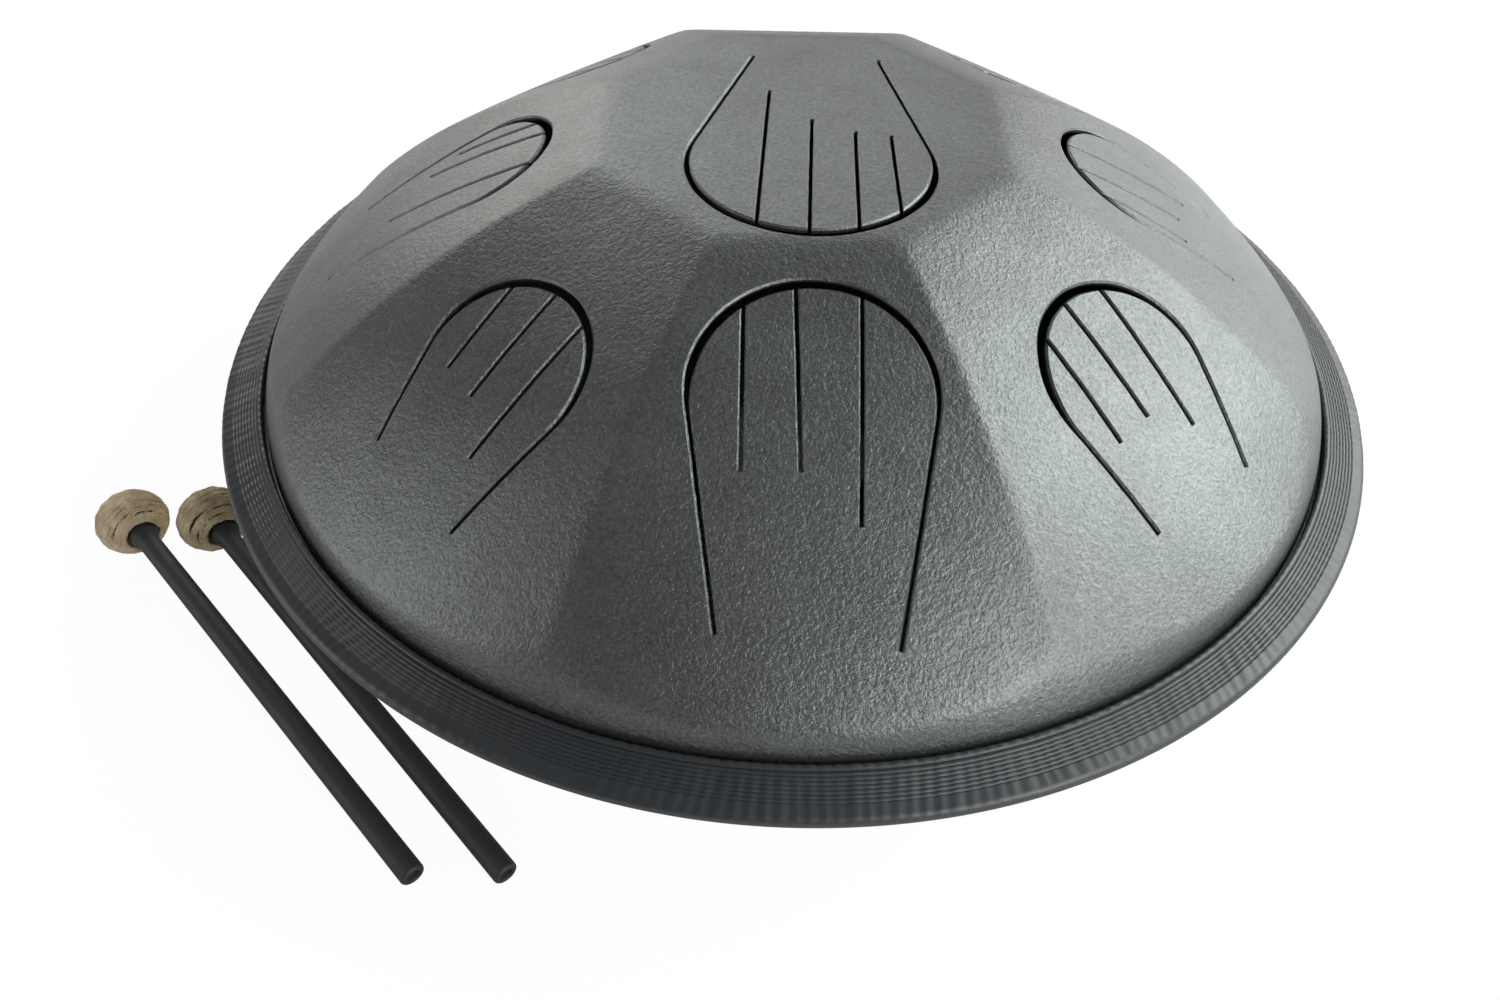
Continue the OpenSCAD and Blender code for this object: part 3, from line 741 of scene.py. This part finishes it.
def dome_sheet():
    """The dome and its flange before the tongues are cut: a sheet of even thickness."""
    rings = dome_rings()
    ends = len(rings)
    half = FACET_COLUMNS / 2

    def place(i, j):
        t = (i % FACET_COLUMNS) / half - 1
        across = FACET_STEP / 2 * (0.5 * t + 0.5 * math.sin(math.pi / 2 * t))
        a = math.radians((i // FACET_COLUMNS) * FACET_STEP - 90 + across)
        if j >= ends:
            r, z = FLANGE_RINGS[j - ends]
            return (r * math.cos(a), r * math.sin(a), SEAM_Z + z)
        s = rings[j]
        corner = s / math.cos(math.radians(across))
        round_share = limited((s - PLATE_R) / (SHOULDER_START - PLATE_R)) ** 2
        r = min(corner * (1 - round_share) + s * round_share, DOME_END_R)
        x, y = r * math.cos(a), r * math.sin(a)
        return (x, y, SEAM_Z + dome_height(x, y))

    shell = rolled_sheet("drum_dome", FACET_COLUMNS * FACETS, ends + 2, place)
    merge(shell, 0.01 * MM)
    sheet = shell.modifiers.new("sheet", "SOLIDIFY")
    sheet.thickness = SHEET_T * MM
    sheet.offset = -1
    apply_modifiers(shell)
    return shell


class DRUM_OT_shell(bpy.types.Operator):
    """Model the dome: eight bowed facets, soft ridges, the playing plate and nine cut tongues"""

    bl_idname = "drum.shell"
    bl_label = "Dome with tongues"

    def execute(self, context):
        looks = context.scene.drum_looks
        light, dark = tuple(looks.lacquer), tuple(looks.lacquer_dark)
        lacquer = lacquered_steel("lacquered_steel", light, dark, looks.roughness)
        edge = bare_steel("cut_edge", (0.8, 0.8, 0.78), rough=0.45, metal=0.3)
        shell = dome_sheet()
        frees, slits = all_blades(context.scene.drum_sizes)
        for piece in (shell, *frees, *slits):
            wear(piece, lacquer, edge)
        cut_away(shell, frees)
        cut_away(shell, slits)
        smooth(shell, 30)
        mount(shell, "drum", "top_shell")
        return {"FINISHED"}


# ---------------------------------------------------------------- the trim
def trim_ridge(s, rib):
    """How far the trim's upper face stands out at the distance s from its inner edge."""
    if s <= TRIM_BEAD:
        return TRIM_BEAD_RISE * math.sin(math.pi * s / TRIM_BEAD) ** 0.5 - TRIM_BEAD_SINK
    if s < TRIM_BEAD + TRIM_RIBS * TRIM_RIB_STEP:
        wave = 0.5 + 0.5 * math.cos(2 * math.pi * (s - TRIM_BEAD) / TRIM_RIB_STEP)
        return -rib * wave**6
    return 0.0


def trim_outline(rib):
    """The trim's section, as (radius, height above the seam), anticlockwise from its inner foot."""
    nose = (RIM_R - NOSE_R, 0.0)

    def face(p, side):
        way = (nose[0] - p[0], nose[1] - p[1])
        return math.atan2(way[1], way[0]) + side * math.asin(NOSE_R / math.hypot(*way))

    top = face((TRIM_IN_R, TRIM_H), 1)
    foot = face((TRIM_IN_R, -TRIM_DROP), -1)
    outline = [(TRIM_IN_R, -TRIM_DROP)]
    q = (nose[0] + NOSE_R * math.sin(foot), nose[1] - NOSE_R * math.cos(foot))
    for k in range(1, 4):
        t = k / 4
        outline.append((TRIM_IN_R + (q[0] - TRIM_IN_R) * t, -TRIM_DROP + (q[1] + TRIM_DROP) * t))
    for k in range(NOSE_STEPS + 1):
        a = foot - math.pi / 2 + (top + math.pi / 2 - foot + math.pi / 2) * k / NOSE_STEPS
        outline.append((nose[0] + NOSE_R * math.cos(a), nose[1] + NOSE_R * math.sin(a)))
    q = (nose[0] - NOSE_R * math.sin(top), nose[1] + NOSE_R * math.cos(top))
    length = math.hypot(q[0] - TRIM_IN_R, q[1] - TRIM_H)
    along = Vector(((q[0] - TRIM_IN_R) / length, (q[1] - TRIM_H) / length))
    up = Vector((-along.y, along.x))
    ribs_end = TRIM_BEAD + TRIM_RIBS * TRIM_RIB_STEP
    places = [length - (length - ribs_end) * k / 5 for k in range(1, 5)]
    places += [ribs_end - TRIM_RIB_STEP * k / 4 for k in range(4 * TRIM_RIBS + 1)]
    places += [TRIM_BEAD * k / 5 for k in (4, 3, 2, 1)]
    for s in places:
        p = Vector((TRIM_IN_R, TRIM_H)) + along * s + up * (trim_ridge(s, rib) - 0.02)
        outline.append((p.x, p.y))
    outline += [(TRIM_IN_R + 0.1, TRIM_H - 0.25), (TRIM_IN_R, 6.5)]
    return outline + GROOVE_LIP + [(r, -h) for r, h in reversed(GROOVE_LIP)]


def trim_dip(x, y):
    """How deep the trim's cross folds lie at a place, as a share of their height."""
    r = math.hypot(x, y)
    a = math.atan2(y, x)
    at = Vector((math.cos(a), math.sin(a), 0))
    lean = a + 0.004 * (r - 240) * noise.noise(at * 3.0)
    wave = wavering(math.cos(lean) * 21, math.sin(lean) * 21, 0.0)
    strength = 0.5 + 0.5 * noise.noise(at * 5.0 + Vector((0, 0, 3.0)))
    pleat = 0.5 + 0.5 * math.cos(TRIM_FOLDS * lean + 2.4 * noise.noise(at * 30.0))
    inner = max(0.0, 1 - (r - TRIM_IN_R) / 2.6)
    outer = limited((r - TRIM_IN_R - 2.0) / 4.0)
    dip = 0.6 * wave + pleat * pleat * (1.1 * inner + 1.3 * outer * strength)
    return 0.1 + max(0.0, 0.35 + dip)


class DRUM_OT_trim(bpy.types.Operator):
    """Model the rubber trim with its moulded ribs and the folds from being pulled round the rim"""

    bl_idname = "drum.trim"
    bl_label = "Rubber trim"

    def execute(self, context):
        rubber = soft_rubber("trim_rubber", tuple(context.scene.drum_looks.rubber), 0.42, 0.005, 1.0)
        rib = context.scene.drum_sizes.rib / MM
        fold = context.scene.drum_sizes.pucker / MM
        at_seam = Matrix.Translation((0, 0, SEAM_Z * MM))
        trim = turned_piece("rim_trim_rubber", trim_outline(rib), TRIM_STEPS, at_seam)
        for v in trim.data.vertices:
            x, y, z = v.co / MM
            h = z - SEAM_Z
            if h < 2.7 and math.hypot(x, y) < RIM_R - 2 * NOSE_R:
                continue
            v.co.z -= trim_dip(x, y) * fold * MM * limited((h + 1) / 2)
        smooth(trim, 60)
        wear(trim, rubber)
        mount(trim, "drum", "rim_trim")
        return {"FINISHED"}


# ---------------------------------------------------------------- the mallets
def mallet_matrix(number):
    """Where a mallet lies: its head's middle at the origin of its own frame and its butt along +X."""
    step = number - 1
    head_r = HEAD_D / 2
    dip = math.asin((head_r - SLEEVE_R) / (SHAFT_L - BUTT_ROUND))
    side = head_r + SLEEVE_R + PASS_GAP
    back = (HEAD_T + HEAD_GAP) * math.sqrt(max(0.0, 1 - (side / (HEAD_D + HEAD_GAP)) ** 2))
    line = RIM_R + MALLET_CLEAR + SLEEVE_R
    place = Vector((step * back - MALLET_BACK, step * side - line, FLOOR_Z + head_r)) * MM
    return (
        Matrix.Rotation(math.radians(MALLET_TURN + step * MALLET_SPREAD), 4, "Z")
        @ Matrix.Translation(place)
        @ Matrix.Rotation(dip, 4, "Y")
    )


# Turns a piece spun round +Z so that its length runs along +X
ALONG_X = Matrix.Rotation(math.pi / 2, 4, "Y")
CORE_R = HEAD_D / 2 - TWINE_D - 0.05
CORE_HALF = HEAD_T / 2 - TWINE_D - 0.05
COLLAR_X = CORE_HALF * 0.85
SLEEVE_X = COLLAR_X + COLLAR_L


def sleeve_outline():
    """A sleeve's section, as (radius, distance from the head's middle), with its round butt."""
    straight_l = SHAFT_L - BUTT_ROUND - SLEEVE_X
    outline = [(BORE_R, SLEEVE_X), (NECK_R, SLEEVE_X)]
    for k in range(1, SLEEVE_STEPS):
        t = k / SLEEVE_STEPS
        outline.append((NECK_R + (SLEEVE_R - NECK_R) * t, SLEEVE_X + straight_l * t))
    for k in range(9):
        a = math.pi / 2 * k / 8
        reach, rise = BUTT_ROUND * math.cos(a), BUTT_ROUND * math.sin(a)
        outline.append((SLEEVE_R - BUTT_ROUND + reach, SHAFT_L - BUTT_ROUND + rise))
    outline += [(BORE_R + 0.6, SHAFT_L - 0.15), (BORE_R + 0.1, SHAFT_L - 0.5), (BORE_R, SHAFT_L - 1.2)]
    return outline + [(BORE_R, SHAFT_L - 20 * k) for k in range(1, 11)]


def collar_outline():
    """A collar's section: straight at the head, then narrowing softly to the sleeve."""
    wide = COLLAR_D / 2
    outline = [(BORE_R, COLLAR_X), (wide - 0.4, COLLAR_X), (wide, COLLAR_X + 0.5)]
    outline.append((wide - 0.1, COLLAR_X + COLLAR_STRAIGHT))
    for k in range(1, COLLAR_STEPS + 1):
        t = k / COLLAR_STEPS
        ease = t * t * (3 - 2 * t)
        r = wide - 0.1 + (NECK_R + 0.02 - wide + 0.1) * ease
        outline.append((r, COLLAR_X + COLLAR_STRAIGHT + (COLLAR_L - COLLAR_STRAIGHT) * t))
    return outline + [(BORE_R, SLEEVE_X), (BORE_R, COLLAR_X + COLLAR_L / 2)]


class DRUM_OT_shafts(bpy.types.Operator):
    """Model the mallets' sleeves with their round, open butts, and the flared collars at the heads"""

    bl_idname = "drum.shafts"
    bl_label = "Mallet sleeves and collars"

    def execute(self, context):
        rubber = soft_rubber("sleeve_rubber", tuple(context.scene.drum_looks.sleeve), 0.55, 0.012)
        for number in (1, 2):
            body = f"mallet_{number}"
            matrix = mallet_matrix(number) @ ALONG_X
            for part, outline in (("sleeve", sleeve_outline()), ("collar", collar_outline())):
                piece = turned_piece(f"{body}_{part}_rubber", outline, ROUND_STEPS, matrix)
                smooth(piece, 50)
                wear(piece, rubber)
                mount(piece, body, f"{body}_{part}")
        return {"FINISHED"}


def winding_path(seed):
    """The twine's way over the head's oval core, as (point, outward) pairs in the mallet's frame.

    The turns sway to and fro as they advance, so that they cross as they do when wound by hand.
    """
    path_r = CORE_R - 0.15 + TWINE_D / 2
    path_t = CORE_HALF - 0.1 + TWINE_D / 2
    mean = (path_r + path_t) / 2
    swing = (path_r - path_t) / 4
    first = math.asin((COLLAR_D / 2 + 0.55 * TWINE_D) / path_r)
    last = math.pi - math.asin(1.3 * TWINE_D / path_r)

    def way(psi):
        return mean * psi + swing * math.sin(2 * psi)

    span = way(last) - way(first)
    turns = TURNS_FACTOR * span / (TWINE_D + TWINE_GAP)
    count = int(turns * TURN_POINTS)
    path = []
    for i in range(count + 1):
        target = way(first) + span * i / count
        psi = math.pi / 2
        for _ in range(6):
            psi = (target - swing * math.sin(2 * psi)) / mean
        turn = 2 * math.pi * turns * i / count
        fade = min(1.0, 3.5 * i / count, 3.5 * (count - i) / count)
        psi += fade * (0.24 * math.sin(0.83 * turn + seed) + 0.12 * wavering(0.9 * turn, seed, 0))
        x, y, z = math.cos(psi), math.sin(psi) * math.cos(turn), math.sin(psi) * math.sin(turn)
        point = Vector((path_t * x, path_r * y, path_r * z))
        out = Vector((x / path_t, y / path_r, z / path_r)).normalized()
        path.append((point, out))
    return path


def yarn_piece(name, path, matrix, seed):
    """Twisted yarn along a path: each ply is a tube that winds round it once in every lay."""
    vertices, faces = [], []
    lengths = [0.0]
    for (p, _), (q, _) in zip(path, path[1:]):
        lengths.append(lengths[-1] + (q - p).length)
    for ply in range(YARN_PLIES):
        faces += ring_faces(len(vertices), len(path), PLY_SIDES)
        for i, (point, out) in enumerate(path):
            across = across_path(path, i)
            a = 2 * math.pi * (lengths[i] / YARN_LAY + ply / YARN_PLIES)
            sway = YARN_R * PLY_OFFSET * math.cos(a)
            rise = YARN_R * PLY_OFFSET * math.sin(a)
            sway += 0.45 * noise.noise(point * 0.22 + Vector((seed, ply * 3.1, 0)))
            rise += 0.5 * noise.noise(point * 0.3 + Vector((0, seed, 7.7)))
            centre = point + across * sway + out * rise
            swell = 1 + 0.12 * noise.noise(point * 0.9 + Vector((seed, seed, ply)))
            swell *= YARN_R * PLY_SHARE
            for k in range(PLY_SIDES):
                b = 2 * math.pi * k / PLY_SIDES
                vertices.append(centre + (across * math.cos(b) + out * math.sin(b)) * swell)
    piece = placed_mesh(name, vertices, faces)
    piece.data.transform(matrix)
    merge(piece, 0.001 * MM)
    return piece


class DRUM_OT_heads(bpy.types.Operator):
    """Model the mallets' heads: twisted brown yarn wound over an oval core"""

    bl_idname = "drum.heads"
    bl_label = "Wound heads"

    def execute(self, context):
        looks = context.scene.drum_looks
        yarn = twisted_yarn("brown_yarn", tuple(looks.twine), tuple(looks.twine_painted_shade))
        for number in (1, 2):
            body = f"mallet_{number}"
            path = winding_path(2.1 * number)
            winding = yarn_piece(f"{body}_yarn", path, mallet_matrix(number), 3.7 * number)
            smooth(winding, 60)
            wear(winding, yarn)
            mount(winding, body, f"{body}_winding")
        return {"FINISHED"}


# ---------------------------------------------------------------- what the solids already show
class DRUM_OT_hardware(bpy.types.Operator):
    """Finish the lower shell, bead, feet, fasteners, rods and cores, whose solids stay"""

    bl_idname = "drum.hardware"
    bl_label = "Underside and fittings"

    def execute(self, context):
        looks = context.scene.drum_looks
        light, dark = scaled(looks.lacquer, 0.85), tuple(looks.lacquer_dark)
        steel = bare_steel("plated_steel")
        foot = soft_rubber("foot_rubber", (0.028, 0.028, 0.03), 0.6, 0.015)
        core = soft_rubber("core_rubber", (0.10, 0.07, 0.045), 0.7, 0.03)
        finishes = {
            "bottom_shell": lacquered_steel("lacquered_underside", light, dark, 0.48),
            "flange_bond": dull_putty("bonding_bead", (0.5, 0.48, 0.43)),
        }
        for kind in ("screws", "washers", "nuts"):
            finishes[f"foot_{kind}"] = steel
        for side in ("front_right", "back_right", "back_left", "front_left"):
            finishes[f"foot_{side}"] = foot
        for number in (1, 2):
            finishes[f"mallet_{number}_rod"] = steel
            finishes[f"mallet_{number}_core"] = core
        for node, material in finishes.items():
            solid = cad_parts[node]
            wear(solid, material)
            smooth(solid, 30)
        return {"FINISHED"}


# ---------------------------------------------------------------- stage
FLOOR_SIZE = 14
# To the camera the floor glows white outside this reach from the drum's middle, in metres, by this
# share. The rest keeps the drum's shadow
GLOW_FROM = 0.10
GLOW_TO = 0.14
GLOW_SHARE = 0.9
GLOW_STRENGTH = 1.06
WORLD_LIGHT = 0.14

# Each lamp's name, direction and rise in degrees, width in metres, power in watts and colour
LAMPS = (
    ("key_right", 9, 31, 1.5, 28, (0.95, 1.0, 0.98)),
    ("back_right", 48, 17, 1.0, 5.6, (1.0, 0.99, 0.96)),
    ("back_middle", 90, 30, 1.0, 4.0, (1.0, 1.0, 0.99)),
    ("back_left", 122, 21, 0.95, 6.0, (1.0, 0.99, 0.95)),
    ("left_low", 192, 11, 1.0, 4.6, (1.0, 1.0, 0.99)),
    ("front_right", -51, 22, 0.85, 11.5, (1.0, 1.0, 1.0)),
)
LAMP_REACH = 1.7
LAMP_TARGET = Vector((0, 0, 0.1))

# The camera, worked out from the rim's ellipse and the plate's corners: its focal length and
# sensor in mm, the way it faces, and its place in rim radii from the middle of the seam
LENS = 29.26
SENSOR = 36
CAMERA_TURN = -2.7
CAMERA_RIGHT = (0.99833, 0.05536, 0.01620)
CAMERA_UP = (-0.05096, 0.71499, 0.69728)
CAMERA_AHEAD = (-0.02702, 0.69694, -0.71662)
CAMERA_BACK = -1.78544
CAMERA_RISE = 1.39907


def pale_floor():
    """The floor's material: matt and pale, and white to the camera away from the drum."""
    pale = bpy.data.materials.new("pale_floor")
    pale.use_nodes = True
    nodes, link = pale.node_tree.nodes, pale.node_tree.links.new
    shader = nodes["Principled BSDF"]
    shader.inputs["Base Color"].default_value = (*grey(0.82), 1)
    shader.inputs["Roughness"].default_value = 0.9
    glow = nodes.new("ShaderNodeEmission")
    glow.inputs["Strength"].default_value = GLOW_STRENGTH
    away = nodes.new("ShaderNodeVectorMath")
    away.operation = "LENGTH"
    link(nodes.new("ShaderNodeTexCoord").outputs["Object"], away.inputs[0])
    ring = nodes.new("ShaderNodeMapRange")
    ring.inputs["From Min"].default_value = GLOW_FROM
    ring.inputs["From Max"].default_value = GLOW_TO
    ring.inputs["To Max"].default_value = GLOW_SHARE
    link(away.outputs["Value"], ring.inputs["Value"])
    share = nodes.new("ShaderNodeMath")
    share.operation = "MULTIPLY"
    link(nodes.new("ShaderNodeLightPath").outputs["Is Camera Ray"], share.inputs[0])
    link(ring.outputs["Result"], share.inputs[1])
    mix = nodes.new("ShaderNodeMixShader")
    link(share.outputs[0], mix.inputs["Fac"])
    link(shader.outputs[0], mix.inputs[1])
    link(glow.outputs[0], mix.inputs[2])
    link(mix.outputs[0], nodes["Material Output"].inputs["Surface"])
    return pale


def studio_world():
    """A faint even light all round, which the camera sees as white."""
    world = bpy.data.worlds.new("studio")
    world.use_nodes = True
    nodes, link = world.node_tree.nodes, world.node_tree.links.new
    soft = nodes["Background"]
    soft.inputs["Color"].default_value = (1, 1, 1, 1)
    soft.inputs["Strength"].default_value = WORLD_LIGHT
    white = nodes.new("ShaderNodeBackground")
    white.inputs["Color"].default_value = (1, 1, 1, 1)
    mix = nodes.new("ShaderNodeMixShader")
    link(nodes.new("ShaderNodeLightPath").outputs["Is Camera Ray"], mix.inputs["Fac"])
    link(soft.outputs[0], mix.inputs[1])
    link(white.outputs[0], mix.inputs[2])
    link(mix.outputs[0], nodes["World Output"].inputs["Surface"])
    return world


def area_light(name, turn, rise, size, power, colour):
    """A soft square lamp that faces the drum."""
    turned, raised = math.radians(turn), math.radians(rise)
    level = math.cos(raised)
    way = Vector((level * math.cos(turned), level * math.sin(turned), math.sin(raised)))
    lamp = bpy.data.lights.new(name, "AREA")
    lamp.size = size
    lamp.energy = power
    lamp.color = colour
    piece = bpy.data.objects.new(name, lamp)
    piece.location = LAMP_TARGET + LAMP_REACH * way
    piece.rotation_euler = (-way).to_track_quat("-Z", "Y").to_euler()
    bpy.context.scene.collection.objects.link(piece)


def photo_camera():
    """The camera at the photograph's place."""
    lens = bpy.data.cameras.new("photo_camera")
    lens.sensor_width = SENSOR
    lens.lens = LENS
    camera = bpy.data.objects.new("photo_camera", lens)
    bpy.context.scene.collection.objects.link(camera)
    turn = Matrix.Rotation(math.radians(CAMERA_TURN), 3, "Z")
    right, up, ahead = (turn @ Vector(way) for way in (CAMERA_RIGHT, CAMERA_UP, CAMERA_AHEAD))
    spot = turn @ Vector((0, CAMERA_BACK * RIM_R, CAMERA_RISE * RIM_R)) + Vector((0, 0, SEAM_Z))
    pose = Matrix((right, up, -ahead)).transposed().to_4x4()
    camera.matrix_world = Matrix.Translation(spot * MM) @ pose
    return camera


class DRUM_OT_stage(bpy.types.Operator):
    """Set the pale floor, the soft lamps and the camera at the photograph's place"""

    bl_idname = "drum.stage"
    bl_label = "Floor, lamps and camera"

    def execute(self, context):
        bare_selection()
        bpy.ops.mesh.primitive_plane_add(size=FLOOR_SIZE, location=(0, 0, FLOOR_Z * MM))
        floor = take("studio_floor")
        bpy.ops.object.transform_apply(location=True, rotation=True, scale=True)
        wear(floor, pale_floor())
        for lamp in LAMPS:
            area_light(*lamp)
        context.scene.world = studio_world()
        context.scene.camera = photo_camera()
        context.scene.view_settings.view_transform = "Standard"
        return {"FINISHED"}


class DRUM_PT_panel(bpy.types.Panel):
    """Lists the drum's pieces and their looks"""

    bl_idname = "DRUM_PT_panel"
    bl_label = "Tongue drum"
    bl_space_type = "VIEW_3D"
    bl_region_type = "UI"
    bl_category = "Tongue drum"

    def draw(self, context):
        for group in (context.scene.drum_looks, context.scene.drum_sizes):
            for key in group.__annotations__:
                self.layout.prop(group, key)
        for piece in PIECES:
            self.layout.operator(piece.bl_idname)


PIECES = (DRUM_OT_stage, DRUM_OT_shell, DRUM_OT_trim, DRUM_OT_shafts, DRUM_OT_heads, DRUM_OT_hardware)
CLASSES = (DrumLooks, DrumSizes) + PIECES + (DRUM_PT_panel,)


def register():
    """Adds the drum's classes and settings to Blender."""
    for item in CLASSES:
        bpy.utils.register_class(item)
    bpy.types.Scene.drum_looks = bpy.props.PointerProperty(type=DrumLooks)
    bpy.types.Scene.drum_sizes = bpy.props.PointerProperty(type=DrumSizes)


def unregister():
    """Takes them away again."""
    del bpy.types.Scene.drum_sizes
    del bpy.types.Scene.drum_looks
    for item in reversed(CLASSES):
        bpy.utils.unregister_class(item)


def main():
    """Models every piece in order."""
    register()
    bpy.ops.drum.stage()
    bpy.ops.drum.shell()
    bpy.ops.drum.trim()
    bpy.ops.drum.shafts()
    bpy.ops.drum.heads()
    bpy.ops.drum.hardware()


if __name__ == "__main__":
    main()
